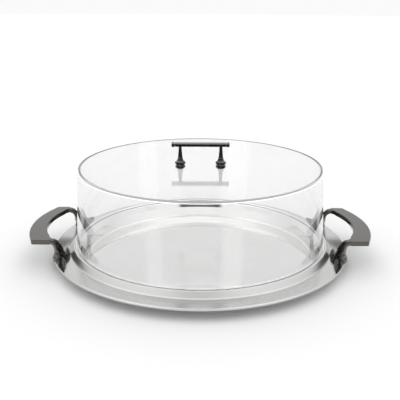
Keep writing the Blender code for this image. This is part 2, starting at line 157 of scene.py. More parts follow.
class ShaderBuilder:
    """Adds nodes to one node tree."""

    def __init__(self, tree: bpy.types.NodeTree) -> None:
        """Start from an existing node tree.

        Args:
            tree: the material's or the world's node tree.
        """
        self.tree = tree

    def node(self, kind: str, settings: dict | None = None, inputs: dict | None = None,
             output: int | str = 0) -> Signal:
        """Add any node.

        Args:
            kind: the node's type name.
            settings: node properties, set first.
            inputs: values or links, by socket name or index.
            output: the output socket to return.

        Returns:
            The chosen output.
        """
        made = self.tree.nodes.new(kind)
        for key, value in (settings or {}).items():
            setattr(made, key, value)
        for key, value in (inputs or {}).items():
            if isinstance(value, Signal):
                self.tree.links.new(value.socket, made.inputs[key])
            else:
                made.inputs[key].default_value = value
        return Signal(self, made.outputs[output])

    def coordinates(self) -> Signal:
        """Object coordinates, in metres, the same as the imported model's frame at rest."""
        return self.node("ShaderNodeTexCoord", output="Object")

    def noise(self, scale: float, detail: float = 3.0,
              stretch: tuple[float, float, float] = (1.0, 1.0, 1.0)) -> Signal:
        """Fractal noise in object space.

        Args:
            scale: cells per metre.
            detail: octaves.
            stretch: scale factors along X, Y and Z.

        Returns:
            Noise from 0 to 1.
        """
        place = self.node("ShaderNodeMapping", {}, {"Vector": self.coordinates(),
                                                     "Scale": stretch})
        return self.node("ShaderNodeTexNoise", {},
                         {"Vector": place, "Scale": scale, "Detail": detail})

    def along(self, axis: str) -> Signal:
        """One object coordinate, in metres.

        Args:
            axis: "X", "Y" or "Z".

        Returns:
            The coordinate.
        """
        return self.node("ShaderNodeSeparateXYZ", {}, {0: self.coordinates()}, output=axis)

    def radius(self) -> Signal:
        """Distance from the Z axis, in metres."""
        x, y = self.along("X"), self.along("Y")
        return (x * x + y * y) ** 0.5

    def upward(self) -> Signal:
        """Z of the surface normal: 1 on top faces, -1 on undersides."""
        normal = self.node("ShaderNodeNewGeometry", output="Normal")
        return self.node("ShaderNodeSeparateXYZ", {}, {0: normal}, output="Z")

    def outward(self) -> Signal:
        """How far the surface faces away from the object's axis, from -1 to 1."""
        normal = self.node("ShaderNodeNewGeometry", output="Normal")
        level = self.node("ShaderNodeVectorMath", {"operation": "MULTIPLY"},
                          {0: self.coordinates(), 1: (1.0, 0.0, 0.0)}, output=0)
        outwards = self.node("ShaderNodeVectorMath", {"operation": "NORMALIZE"},
                             {0: level}, output=0)
        return self.node("ShaderNodeVectorMath", {"operation": "DOT_PRODUCT"},
                         {0: normal, 1: outwards}, output="Value")

    def pointiness(self) -> Signal:
        """Convexity of the surface, about 0.5 where it is flat."""
        return self.node("ShaderNodeNewGeometry", output="Pointiness")

    def tint(self, mask: Value, dark: Union[Signal, Sequence[float]],
             light: Union[Signal, Sequence[float]]) -> Signal:
        """Blend two colours.

        Args:
            mask: 0 for the first colour, 1 for the second.
            dark: first colour, red, green, blue.
            light: second colour.

        Returns:
            The blended colour.
        """
        first, second = (c if isinstance(c, Signal) else (*c, 1.0) for c in (dark, light))
        return self.node("ShaderNodeMix", {"data_type": "RGBA"},
                         {0: mask, 6: first, 7: second}, output=2)

    def bump(self, height: Signal, strength: float, distance: float) -> Signal:
        """Turn a height field into a surface normal."""
        return self.node("ShaderNodeBump", {}, {"Height": height, "Strength": strength,
                                                "Distance": distance})


@dataclass(frozen=True)
class Finish:
    """A finish made of one Principled shader."""

    name: str = "finish"
    metallic: float = 0.0
    transmission: float = 0.0
    ior: float = 1.5
    specular: float = 0.5
    emission: float = 0.0

    def sockets(self, shader: ShaderBuilder) -> dict:
        """Varying inputs of the Principled shader.

        Args:
            shader: the builder of this material.

        Returns:
            Values by socket name.
        """
        raise NotImplementedError

    def material(self) -> bpy.types.Material:
        """The finish as a material, made once."""
        found = bpy.data.materials.get(self.name)
        if found:
            return found
        material = bpy.data.materials.new(self.name)
        material.use_nodes = True
        tree = material.node_tree
        principled = tree.nodes["Principled BSDF"]
        constants = {"Metallic": self.metallic, "Transmission Weight": self.transmission,
                     "IOR": self.ior, "Emission Strength": self.emission,
                     "Specular IOR Level": self.specular}
        for key, value in {**constants, **self.sockets(ShaderBuilder(tree))}.items():
            if isinstance(value, Signal):
                tree.links.new(value.socket, principled.inputs[key])
            else:
                principled.inputs[key].default_value = value
        return material


@dataclass(frozen=True)
class PolishedSteel(Finish):
    """Mirror-polished steel, faintly ringed in the well and softer on the riser and rim, with
    painted shade: the riser and rim get a darker colour.
    """

    name: str = "polished_stainless"
    metallic: float = 1.0
    floor_edge: float = 145.0 * MM
    rim_roughness: float = 0.20
    floor_roughness: float = 0.075
    riser: Point = (150.5 * MM, 156.0 * MM)
    riser_roughness: float = 0.40
    fade: float = 4.0 * MM
    line: float = 1.0 * MM
    wipe_scale: float = 26.0
    wipe_depth: float = 0.03
    ring_scale: float = 2600.0
    ring_height: float = 0.5
    fine_scale: float = 900.0
    fine_depth: float = 0.01
    fine_height: float = 0.15
    well: tuple[Colour, Colour] = ((0.755, 0.752, 0.745), (0.785, 0.782, 0.775))
    # Painted shade: the riser and rim get this darker copy of the well's colour.
    flange: tuple[Colour, Colour] = ((0.585, 0.582, 0.576), (0.61, 0.607, 0.60))

    def sockets(self, shader: ShaderBuilder) -> dict:
        """Slight colour drift, painted shade outside the well, fine turning rings and a few soft
        wipe marks.
        """
        radius = shader.radius()
        rim = radius.above(self.floor_edge, self.fade)
        inner, outer = self.riser
        riser = radius.above(inner, self.line) * (1.0 - radius.above(outer, self.line))
        wipe = shader.noise(self.wipe_scale, 4.0)
        rings = shader.node("ShaderNodeTexNoise", {"noise_dimensions": "1D"},
                            {"W": radius, "Scale": self.ring_scale, "Detail": 2.0})
        fine = shader.noise(self.fine_scale, 2.0)
        roughness = (rim * (self.rim_roughness - self.floor_roughness) + self.floor_roughness
                     + riser * (self.riser_roughness - self.rim_roughness)
                     + (wipe - 0.5) * self.wipe_depth + (fine - 0.5) * self.fine_depth)
        height = (rings - 0.5) * (1.0 - rim) * self.ring_height \
            + (fine - 0.5) * self.fine_height
        well = shader.tint(wipe.above(0.5, 0.5), *self.well)
        flange = shader.tint(wipe.above(0.5, 0.5), *self.flange)
        # Painted shade: from the riser's inner edge outwards the steel takes the darker flange
        # colour.
        return {"Base Color": shader.tint(radius.above(inner, self.line), well, flange),
                "Roughness": roughness,
                "Normal": shader.bump(height, 0.12, 0.02 * MM)}


@dataclass(frozen=True)
class ClearAcrylic(Finish):
    """Clear moulded acrylic with a trace of haze and a painted glow on its cut edges."""

    name: str = "clear_acrylic_moulding"
    transmission: float = 1.0
    ior: float = 1.49
    specular: float = 0.15
    lid_edge: Point = (141.2 * MM, 109.0 * MM)
    foot_edge: float = 22.6 * MM
    # Painted glow: emission on the lid's outer edge band and, more faintly, on the foot.
    painted_edge_glow: float = 0.42
    foot_glow_share: float = 0.12
    emission: float = 1.0
    line: float = 1.0 * MM
    haze_scale: float = 18.0
    haze_roughness: float = 0.012
    clear: Colour = (0.957, 0.958, 0.960)
    hazy: Colour = (0.948, 0.949, 0.951)

    def sockets(self, shader: ShaderBuilder) -> dict:
        """Near colourless, with a trace of haze in patches and a painted glow on the lid's outer
        edge and the foot.
        """
        haze = shader.noise(self.haze_scale, 3.0).above(0.62, 0.3)
        height = shader.along("Z")
        # Painted glow: masks for the lid's outer edge band and the foot, which are given
        # emission below though they are no lamp.
        edge_radius, edge_height = self.lid_edge
        lid_edge = (height.above(edge_height, self.line)
                    * shader.radius().above(edge_radius, self.line))
        foot = 1.0 - height.above(self.foot_edge, self.line)
        return {"Base Color": shader.tint(haze, self.clear, self.hazy),
                "Roughness": haze * self.haze_roughness,
                "Emission Color": shader.tint(lid_edge + foot * self.foot_glow_share,
                                              (0.0, 0.0, 0.0), (self.painted_edge_glow,) * 3)}


@dataclass(frozen=True)
class Gunmetal(Finish):
    """Dark plated metal, polished, with painted light: a painted highlight on outer sides,
    painted shade on bevels, and near-black painted shade on undersides, inner sides and foot
    tips.
    """

    name: str = "gunmetal"
    metallic: float = 1.0
    dark: Colour = (0.122, 0.116, 0.107)
    # Painted highlight: a lighter, warmer colour on faces turned outwards.
    painted_highlight: Colour = (0.21, 0.19, 0.168)
    # Colour of bevels and convex edges: painted dark outlines on the casting, pale edge wear on
    # the turned pieces and the bar.
    edge: Colour = (0.045, 0.041, 0.037)
    # deep: colour of the painted shade; the four fields below place it on undersides, inner
    # sides and foot tips
    deep: Colour = (0.018, 0.016, 0.014)
    painted_shade_below: float = -0.3
    painted_shade_softness: float = 0.3
    painted_shade_inside: float = -0.40
    painted_shade_beyond: float = 66.0 * MM
    # bevel: share of painted shade on sloping bevel faces.
    bevel: float = 0.85
    convex_wear_and_shade_amount: float = 0.8
    roughness: float = 0.11
    grain: float = 380.0
    cloud_scale: float = 60.0
    cloud_depth: float = 0.10
    grain_depth: float = 0.05

    def sockets(self, shader: ShaderBuilder) -> dict:
        """Cloudy plating, painted dark bevels and convex edges on the casting, pale worn convex
        edges on turned pieces, painted shade and highlight, and a fine cast grain.
        """
        cloud = shader.noise(self.cloud_scale, 4.0)
        grain = shader.noise(self.grain, 3.0)
        # Painted shade: faces turned down, faces turned in towards the middle and the foot tips
        # far out along Y get the near-black deep colour.
        reach = shader.along("Y")
        lit = (shader.upward().above(self.painted_shade_below, self.painted_shade_softness)
               * shader.outward().above(self.painted_shade_inside, 0.35)
               * (1.0 - ((reach * reach) ** 0.5).above(self.painted_shade_beyond, 3.0 * MM)))
        # Painted highlight: faces turned outwards take the lighter colour, broken up by the
        # cloud noise.
        side = shader.outward().above(0.45, 0.6) * (cloud.above(0.5, 0.9) * 0.4 + 0.6)
        # Painted shade: sloping bevel faces, and convex edges on the casting, are painted dark
        # to draw outlines; on turned pieces the convex edges are pale wear.
        slope = shader.upward()
        bevel = slope.above(0.3, 0.2) * (1.0 - slope.above(0.9, 0.12)) * self.bevel
        convex_wear_and_shade = shader.pointiness().above(0.56, 0.06) * self.convex_wear_and_shade_amount
        edge = bevel + convex_wear_and_shade * (1.0 - bevel)
        plating_and_painted_light = shader.tint(edge, shader.tint(side, self.dark, self.painted_highlight), self.edge)
        return {"Base Color": shader.tint(lit, self.deep, plating_and_painted_light),
                "Roughness": (cloud - 0.5) * self.cloud_depth
                + (grain - 0.5) * self.grain_depth + self.roughness,
                "Normal": shader.bump(grain * 0.7 + cloud * 0.5, 0.1, 0.12 * MM)}


@dataclass(frozen=True)
class FastenerSteel(Finish):
    """Plain machined screw steel."""

    name: str = "fastener_steel"
    metallic: float = 1.0

    def sockets(self, shader: ShaderBuilder) -> dict:
        """Grey, with turning marks and darker specks."""
        marks = shader.noise(1500.0, 2.0, (1.0, 1.0, 4.0))
        return {"Base Color": shader.tint(marks, (0.42, 0.42, 0.41), (0.62, 0.62, 0.60)),
                "Roughness": marks.spread(0.24, 0.40),
                "Normal": shader.bump(marks, 0.1, 0.05 * MM)}


@dataclass(frozen=True)
class SoftWasher(Finish):
    """Dark soft plastic."""

    name: str = "soft_washer"

    def sockets(self, shader: ShaderBuilder) -> dict:
        """Nearly black, with a moulded surface."""
        cloud = shader.noise(400.0, 3.0)
        return {"Base Color": shader.tint(cloud, (0.016, 0.015, 0.014), (0.035, 0.034, 0.032)),
                "Roughness": cloud.spread(0.30, 0.45)}


@dataclass(frozen=True)
class StudioPaper(Finish):
    """Seamless white paper under the object."""

    name: str = "white_paper"
    specular: float = 0.0
    white: float = 0.78
    tooth: float = 0.006

    def sockets(self, shader: ShaderBuilder) -> dict:
        """Even white with a trace of tooth."""
        mask = shader.noise(300.0, 2.0)
        return {"Base Color": shader.tint(mask, (self.white,) * 3,
                                          (self.white + self.tooth,) * 3),
                "Roughness": 0.9}


STEEL = PolishedSteel()
ACRYLIC = ClearAcrylic()
CASTING = Gunmetal(name="gunmetal_casting")
# Turned pieces: every face not turned well up gets the painted shade, so the posts and the
# flanges' lower parts are painted dark; the pale convex edges are wear.
TURNED = Gunmetal(name="gunmetal_turned", dark=(0.085, 0.08, 0.074),
                  edge=(0.36, 0.34, 0.32), bevel=0.0, painted_shade_below=0.42, painted_shade_inside=-2.0,
                  roughness=0.07, grain=700.0)
# Bar: the lower half is painted dark as painted shade below a crisp line, and the upper half
# keeps its lighter colour.
BAR = Gunmetal(name="gunmetal_bar", dark=(0.21, 0.207, 0.203), painted_highlight=(0.21, 0.207, 0.203),
               edge=(0.30, 0.296, 0.29), bevel=0.0, painted_shade_below=0.30, painted_shade_softness=0.2,
               painted_shade_inside=-2.0, roughness=0.09, grain=700.0)
FASTENER = FastenerSteel()
WASHER = SoftWasher()


# Mesh helpers -------------------------------------------------------------------------------


def arc(centre: Point, radius: float, start: float, end: float, steps: int) -> list[Point]:
    """Points along an arc, ends included.

    Args:
        centre: centre of the arc.
        radius: its radius.
        start: first angle in degrees.
        end: last angle in degrees.
        steps: number of chords.

    Returns:
        steps + 1 points.
    """
    angles = np.radians(np.linspace(start, end, steps + 1))
    return [(centre[0] + radius * math.cos(a), centre[1] + radius * math.sin(a))
            for a in angles]


def rounded(corners: Sequence[tuple[float, float, float]], steps: int = 6) -> list[Point]:
    """Round the corners of an open line.

    Args:
        corners: (x, y, fillet radius) of each corner.
        steps: chords in each fillet.

    Returns:
        The rounded line.
    """
    line: list[Point] = []
    for i, (x, y, fillet) in enumerate(corners):
        here = Vector((x, y))
        if fillet <= 0.0 or i in (0, len(corners) - 1):
            line.append((x, y))
            continue
        back = Vector(corners[i - 1][:2]) - here
        ahead = Vector(corners[i + 1][:2]) - here
        half = back.angle(ahead) / 2
        if math.pi / 2 - half < 0.01:
            line.append((x, y))
            continue
        reach = min(fillet / math.tan(half), 0.48 * back.length, 0.48 * ahead.length)
        radius = reach * math.tan(half)
        centre = here + (back.normalized() + ahead.normalized()).normalized() \
            * (radius / math.sin(half))
        first = here + back.normalized() * reach - centre
        last = here + ahead.normalized() * reach - centre
        sweep = first.angle_signed(last)
        for k in range(steps + 1):
            turned_by = Matrix.Rotation(-sweep * k / steps, 2)
            point = centre + turned_by @ first
            line.append((point.x, point.y))
    return line


def offset(corners: Sequence[tuple[float, float, float]],
           distance: float) -> list[tuple[float, float, float]]:
    """Shift an open line to its right, corner by corner, and adapt its fillets.

    Args:
        corners: (x, y, fillet radius) of each corner.
        distance: how far to shift.

    Returns:
        The shifted corners.
    """
    shifted = []
    for i, (x, y, fillet) in enumerate(corners):
        here = Vector((x, y))
        into = here - Vector(corners[max(i - 1, 0)][:2])
        out = Vector(corners[min(i + 1, len(corners) - 1)][:2]) - here
        into = into.normalized() if into.length else out.normalized()
        out = out.normalized() if out.length else into
        normal = (Vector((into.y, -into.x)) + Vector((out.y, -out.x))).normalized()
        reach = distance / max(normal.dot(Vector((into.y, -into.x))), 0.5)
        bend = into.x * out.y - into.y * out.x
        shifted.append((max(x + normal.x * reach, 0.0), y + normal.y * reach,
                        max(fillet + (distance if bend > 0.0 else -distance), 0.15)))
    return shifted


def placed(name: str, data: bpy.types.ID) -> bpy.types.Object:
    """A new object, linked to the scene."""
    made = bpy.data.objects.new(name, data)
    bpy.context.scene.collection.objects.link(made)
    return made


def make_object(name: str, vertices: Sequence, faces: Sequence, finish: Finish,
                sharp: float = 35.0) -> bpy.types.Object:
    """Create a smooth-shaded object whose faces point outwards.

    Args:
        name: name of the piece.
        vertices: points in metres.
        faces: vertex indices of each face.
        finish: finish of the whole piece.
        sharp: edges bent more than this many degrees stay crisp.

    Returns:
        The new object, linked to the scene.
    """
    mesh = bpy.data.meshes.new(name)
    mesh.from_pydata([tuple(v) for v in vertices], [], faces)
    bm = bmesh.new()
    bm.from_mesh(mesh)
    bmesh.ops.recalc_face_normals(bm, faces=bm.faces)
    bm.to_mesh(mesh)
    bm.free()
    mesh.materials.append(finish.material())
    mesh.shade_smooth()
    mesh.set_sharp_from_angle(angle=math.radians(sharp))
    return placed(name, mesh)


def guarded(outline: Sequence[Point], guard: float = 0.12) -> list[Point]:
    """Add a point close to each end of every long straight run, to keep its shading flat.

    Args:
        outline: (radius, height) points in millimetres.
        guard: distance of the added points from the ends.

    Returns:
        The outline with the points added.
    """
    points = [outline[0]]
    for (r0, z0), (r1, z1) in zip(outline, outline[1:]):
        length = math.hypot(r1 - r0, z1 - z0)
        if length > 5 * guard:
            share = guard / length
            points += [(r0 + (r1 - r0) * t, z0 + (z1 - z0) * t) for t in (share, 1 - share)]
        points.append((r1, z1))
    return points


def turned(name: str, outline: Sequence[Point], finish: Finish, steps: int = 192,
           shape: Callable[[float, float, float], float] | None = None,
           sharp: float = 35.0) -> bpy.types.Object:
    """Turn a closed outline of (radius, height) about Z.

    Args:
        name: name of the piece.
        outline: corners in millimetres; points on the axis close the solid there.
        finish: finish of the piece.
        steps: facets round the axis.
        shape: optional factor on the radius from (radius, height, angle).
        sharp: see make_object.

    Returns:
        The new object.
    """
    vertices: list[tuple[float, float, float]] = []
    rows: list[list[int]] = []
    for r, z in guarded(outline):
        if r < 1e-6:
            rows.append([len(vertices)] * steps)
            vertices.append((0.0, 0.0, z * MM))
            continue
        rows.append(list(range(len(vertices), len(vertices) + steps)))
        for k in range(steps):
            angle = 2 * math.pi * k / steps
            reach = r * (shape(r, z, angle) if shape else 1.0) * MM
            vertices.append((reach * math.cos(angle), reach * math.sin(angle), z * MM))
    on_axis = outline[0][0] < 1e-6 and outline[-1][0] < 1e-6
    pairs = list(zip(rows, rows[1:])) + ([] if on_axis else [(rows[-1], rows[0])])
    faces = []
    for low, high in pairs:
        for k in range(steps):
            after = (k + 1) % steps
            loop = list(dict.fromkeys((low[k], low[after], high[after], high[k])))
            if len(loop) > 2:
                faces.append(loop)
    return make_object(name, vertices, faces, finish, sharp)


def through(rows: Sequence[Sequence[float]], count: int) -> np.ndarray:
    """Catmull-Rom curve through rows of numbers.

    Args:
        rows: the rows that the curve passes through.
        count: rows to return.

    Returns:
        An array with count rows.
    """
    points = np.asarray(rows, float)
    padded = np.vstack([2 * points[0] - points[1], points, 2 * points[-1] - points[-2]])
    result = []
    for t in np.linspace(0, len(points) - 1 - 1e-9, count):
        i, f = int(t), t - int(t)
        a, b, c, d = padded[i:i + 4]
        result.append(0.5 * (2 * b + (c - a) * f + (2 * a - 5 * b + 4 * c - d) * f * f
                             + (3 * b - a - 3 * c + d) * f ** 3))
    return np.array(result)


def skin(rings: Sequence[Sequence[Vector]]) -> tuple[list[Vector], list[list[int]]]:
    """Skin a row of closed rings and cap its ends.

    Args:
        rings: rings with the same number of points.

    Returns:
        Vertices and faces.
    """
    size = len(rings[0])
    vertices = [point for ring in rings for point in ring]
    faces = [[i * size + k, i * size + (k + 1) % size, (i + 1) * size + (k + 1) % size,
              (i + 1) * size + k] for i in range(len(rings) - 1) for k in range(size)]
    faces.append(list(range(size))[::-1])
    faces.append([(len(rings) - 1) * size + k for k in range(size)])
    return vertices, faces


def apply_modifiers(piece: bpy.types.Object) -> None:
    """Replace a piece's mesh with its evaluated mesh."""
    graph = bpy.context.evaluated_depsgraph_get()
    finished = bpy.data.meshes.new_from_object(piece.evaluated_get(graph))
    piece.modifiers.clear()
    piece.data = finished


def bore(piece: bpy.types.Object, holes: Sequence[tuple[float, float, float, float, float]],
         sharp: float = 50.0) -> None:
    """Drill upright round holes.

    Args:
        piece: the piece to drill.
        holes: (x, y, low z, high z, radius) of each hole in millimetres.
        sharp: edges bent more than this many degrees stay crisp.
    """
    cutters = []
    for i, (x, y, low, high, radius) in enumerate(holes):
        outline = [(0.0, low), (radius, low), (radius, high), (0.0, high)]
        cutter = turned(f"{piece.name}_drill_{i}", outline, STEEL, 32)
        cutter.location = (x * MM, y * MM, 0.0)
        modifier = piece.modifiers.new(f"drill_{i}", "BOOLEAN")
        modifier.operation = "DIFFERENCE"
        modifier.solver = "EXACT"
        modifier.object = cutter
        cutters.append(cutter)
    bpy.context.view_layer.update()
    apply_modifiers(piece)
    piece.data.set_sharp_from_angle(angle=math.radians(sharp))
    for cutter in cutters:
        bpy.data.objects.remove(cutter, do_unlink=True)


def install(piece: bpy.types.Object, body: Body, slot: Slot, *nodes: str) -> bpy.types.Object:
    """Hand a finished piece to the frame.

    Args:
        piece: the finished piece, in place.
        body: the body it rides on.
        slot: the record's material slot; not used.
        nodes: the CAD nodes that it stands for.

    Returns:
        The same piece.
    """
    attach(piece, body.value)
    if nodes:
        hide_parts(*nodes)
    log.info("%s: %d faces, rides on %s, stands for %s", piece.name,
             len(piece.data.polygons), body.value, ", ".join(nodes) or "nothing")
    return piece


# Sub-assemblies -----------------------------------------------------------------------------


@dataclass
class Tray:
    """Pressed tray: flat floor, wall in two facets, seat ring, lip, riser and flat rim."""

    sheet: float = 1.0
    floor_radius: float = 136.45
    floor_fillet: float = 2.0
    knee_radius: float = 140.2
    knee_height: float = 13.0
    seat_inner: float = 143.8
    seat_height: float = 20.4
    seat_outer: float = 148.9
    lip_inner: float = 149.7
    lip_outer: float = 151.2
    lip_height: float = 21.2
    riser_foot: float = 154.3
    riser_rise: float = 1.0
    rim_inner: float = 155.6
    rim_height: float = 14.0
    rim_radius: float = 175.0
    edge_drop: float = 2.4
    drill: Point = (8.0, 20.0)

    def corners(self) -> list[tuple[float, float, float]]:
        """Top face as (radius, height, fillet), from the axis outwards."""
        return [(0.0, self.sheet, 0.0),
                (self.floor_radius, self.sheet, self.floor_fillet),
                (self.knee_radius, self.knee_height, 0.4),
                (self.seat_inner, self.seat_height, 2.2),
                (self.seat_outer, self.seat_height, 0.3),
                (self.lip_inner, self.lip_height, 0.5),
                (self.lip_outer, self.lip_height, 1.2),
                (self.riser_foot, self.rim_height + self.riser_rise, 0.9),
                (self.rim_inner, self.rim_height, 0.5),
                (self.rim_radius, self.rim_height, 1.3),
                (self.rim_radius, self.rim_height - self.edge_drop, 0.0)]

    def build(self) -> None:
        """Make the tray from its top face and the same line one sheet lower."""
        top = rounded(self.corners(), 8)
        under = rounded(offset(self.corners(), self.sheet), 6)
        piece = turned("tray_pressing", top + under[::-1], STEEL, 256, sharp=50.0)
        bore(piece, [(x * SCREW_X, y * SCREW_Y, *self.drill, BORE_RADIUS)
                     for x in (-1, 1) for y in (-1, 1)])
        install(piece, Body.BASE, Slot.STEEL, "tray")


@dataclass
class SideHandle:
    """Cast handle: crescent grip, two legs and three-lobed feet in one casting."""

    grip_top: float = 38.7
    grip_thickness: float = 5.3
    grip_bevel: float = 0.7
    half_length: float = 60.0
    outer_centre: Point = (69.0, -6.0)
    outer_radius: float = 132.0
    near_corner: float = 1.4
    far_corner: float = 6.0
    inner_centre: float = 85.0
    inner_radius: float = 97.5
    inner_half_length: float = 43.0
    root: float = 169.0
    leg_width: float = 10.0
    foot_base: float = 14.3
    drill: Point = (10.0, 20.1)
    voxel: float = 0.55
    squareness: float = 3.2
    petal_dome: float = 0.94
    petal_ridge: float = 0.78

    # height, swell and width of each ring round the leg
    collars: tuple = ((22.6, 0.13, 0.8), (24.6, -0.08, 0.7))

    # X, Y towards the end, Z, half width, half thickness, twist in degrees
    leg: tuple = ((174.0, 55.0, 36.05, 4.9, 2.55, 0), (168.0, 55.0, 35.85, 4.9, 2.6, 0),
                  (164.9, 55.3, 34.9, 4.9, 2.8, 5), (162.3, 56.1, 32.6, 4.8, 3.0, 14),
                  (160.3, 57.4, 29.0, 5.0, 3.5, 26), (158.7, 59.0, 24.4, 5.5, 4.0, 36),
                  (157.6, 60.4, 19.8, 5.7, 4.4, 44), (157.0, 61.2, 15.0, 5.6, 4.4, 45))

    # X, Y towards the end, half width, height above the rim
    tip: tuple = ((157.2, 57.0, 3.6, 6.4), (156.2, 63.0, 5.0, 7.0), (154.5, 71.0, 4.8, 5.6),
                  (151.9, 80.0, 3.6, 3.9), (148.2, 89.8, 0.7, 1.4))
    outer_petal: tuple = ((157.4, 65.0, 2.4, 4.6), (160.4, 62.8, 3.3, 7.4),
                          (163.0, 59.2, 3.6, 9.2), (164.4, 55.6, 2.9, 8.8),
                          (164.8, 53.4, 1.2, 5.4))
    far_outer_petal: tuple = ((157.4, 65.0, 2.4, 4.0), (159.6, 62.8, 2.6, 4.2),
                              (161.0, 60.0, 2.2, 3.4), (161.6, 57.6, 1.0, 2.0))
    inner_petal: tuple = ((156.0, 66.0, 2.4, 4.4), (153.6, 60.0, 3.2, 5.6),
                          (152.8, 51.0, 3.7, 7.2), (153.8, 42.0, 3.7, 8.2),
                          (155.0, 36.6, 3.3, 7.2), (155.6, 33.6, 1.2, 4.2))

    def grip_outline(self) -> list[Point]:
        """Plan of the grip plate in millimetres, anticlockwise."""
        cx, cy = self.outer_centre

        def edge_x(y: float) -> float:
            """X of the outer edge at one Y."""
            return cx + math.sqrt(self.outer_radius ** 2 - (y - cy) ** 2)

        low, high = -self.half_length, self.half_length
        near_y, far_y = low + self.near_corner, high - self.far_corner
        outer = [(edge_x(y), y) for y in np.linspace(near_y, far_y, 40)]
        near = arc((outer[0][0] - self.near_corner, near_y), self.near_corner, -90, -25, 4)
        far = arc((outer[-1][0] - self.far_corner, far_y), self.far_corner, 25, 90, 8)
        reach = math.degrees(math.asin(self.inner_half_length / self.inner_radius))
        inner = arc((self.inner_centre, 0.0), self.inner_radius, reach, -reach, 40)
        x, y = inner[0]
        leg_edge = high - self.leg_width
        bend = ((x + self.root) / 2 + 0.6, (y + leg_edge) / 2 + 1.5)
        far_end = [(self.root, high), (self.root, leg_edge), bend]
        near_end = [(x, -y) for x, y in reversed(far_end)]
        return near + outer + far + far_end + inner + near_end

    def grip(self) -> bpy.types.Object:
        """The crescent plate with softened edges."""
        bm = bmesh.new()
        low = self.grip_top - self.grip_thickness
        base = bm.faces.new([bm.verts.new((x * MM, y * MM, low * MM))
                             for x, y in self.grip_outline()])
        raised = bmesh.ops.extrude_face_region(bm, geom=[base])["geom"]
        bmesh.ops.translate(bm, vec=(0.0, 0.0, self.grip_thickness * MM),
                            verts=[g for g in raised if isinstance(g, bmesh.types.BMVert)])
        rims = [e for e in bm.edges if abs(e.verts[0].co.z - e.verts[1].co.z) < 1e-7]
        bmesh.ops.bevel(bm, geom=rims, offset=self.grip_bevel * MM, segments=3, profile=0.5,
                        affect="EDGES", clamp_overlap=True)
        bmesh.ops.triangulate(bm, faces=bm.faces)
        vertices = [v.co.copy() for v in bm.verts]
        faces = [[v.index for v in f.verts] for f in bm.faces]
        bm.free()
        return make_object("grip", vertices, faces, CASTING)

    def leg_part(self, end: int) -> bpy.types.Object:
        """One leg, which turns its edge to the front and has a collar above the foot.

        Args:
            end: sign of Y.

        Returns:
            A closed tube-like mesh.
        """
        stations = through(self.leg, 60)
        centres = [Vector((x, end * y, z)) for x, y, z, *_ in stations]
        rings = []
        for i, (*_, half_width, half_thickness, twist) in enumerate(stations):
            tangent = (centres[min(i + 1, len(centres) - 1)]
                       - centres[max(i - 1, 0)]).normalized()
            across = Vector((0.0, end, 0.0))
            across = (across - tangent * across.dot(tangent)).normalized()
            thick = tangent.cross(across)
            if thick.z < 0.0 or (abs(thick.z) < 0.5 and thick.x > 0.0):
                thick = -thick
            turn = math.radians(twist)
            collar = 1.0
            for height, swell, width in self.collars:
                collar += swell * math.exp(-((centres[i].z - height) / width) ** 2)
            wide = (across * math.cos(turn) - thick * math.sin(turn)) * half_width * collar
            deep = (thick * math.cos(turn) + across * math.sin(turn)) * half_thickness * collar
            ring = []
            for k in range(32):
                a = 2 * math.pi * k / 32
                c, s = math.cos(a), math.sin(a)
                power = self.squareness
                square = (abs(c) ** power + abs(s) ** power) ** (-1 / power)
                ring.append((centres[i] + wide * (c * square) + deep * (s * square)) * MM)
            rings.append(ring)
        return make_object("leg", *skin(rings), CASTING)

    def petal_part(self, rows: Sequence[Sequence[float]], end: int,
                   ridge: float) -> bpy.types.Object:
        """One petal of the foot.

        Args:
            rows: stations of its centre line.
            end: sign of Y.
            ridge: 0 for a domed section, 1 for a crisp ridge.

        Returns:
            A closed mesh, flat below.
        """
        stations = through(rows, 28)
        points = [Vector((x, end * y, 0.0)) for x, y, *_ in stations]
        rings = []
        for i, (_, _, half_width, height) in enumerate(stations):
            tangent = (points[min(i + 1, len(points) - 1)]
                       - points[max(i - 1, 0)]).normalized()
            side = Vector((-tangent.y, tangent.x, 0.0)) * max(half_width, 0.3)
            rise = Vector((0.0, 0.0, max(height, 0.6)))
            base = points[i] + Vector((0.0, 0.0, self.foot_base))
            ring = [base - side, base + side]
            for u in np.linspace(1.0, -1.0, 17):
                domed = math.sqrt(max(1.0 - u * u * self.petal_dome, 0.0))
                ridged = 1.0 - abs(u) * self.petal_ridge
                ring.append(base + side * u + rise * (domed * (1 - ridge) + ridged * ridge))
            rings.append([p * MM for p in ring])
        return make_object("petal", *skin(rings), CASTING)

    def casting(self) -> bpy.types.Object:
        """Fuse and soften the parts of the right-hand casting."""
        parts = [self.grip()]
        for end in (-1, 1):
            parts.append(self.leg_part(end))
            outer = self.far_outer_petal if end > 0 else self.outer_petal
            for rows, ridge in ((self.tip, 0.75), (outer, 0.25), (self.inner_petal, 0.25)):
                parts.append(self.petal_part(rows, end, ridge))
        bm = bmesh.new()
        for part in parts:
            bm.from_mesh(part.data)
        mesh = bpy.data.meshes.new("casting")
        bm.to_mesh(mesh)
        bm.free()
        for part in parts:
            bpy.data.objects.remove(part, do_unlink=True)
        piece = placed("casting", mesh)
        mesh.materials.append(CASTING.material())
        remesh = piece.modifiers.new("fuse", "REMESH")
        remesh.mode = "VOXEL"
        remesh.voxel_size = self.voxel * MM
        soften = piece.modifiers.new("soften", "SMOOTH")
        soften.factor = 0.5
        soften.iterations = 4
        bpy.context.view_layer.update()
        apply_modifiers(piece)
        return piece

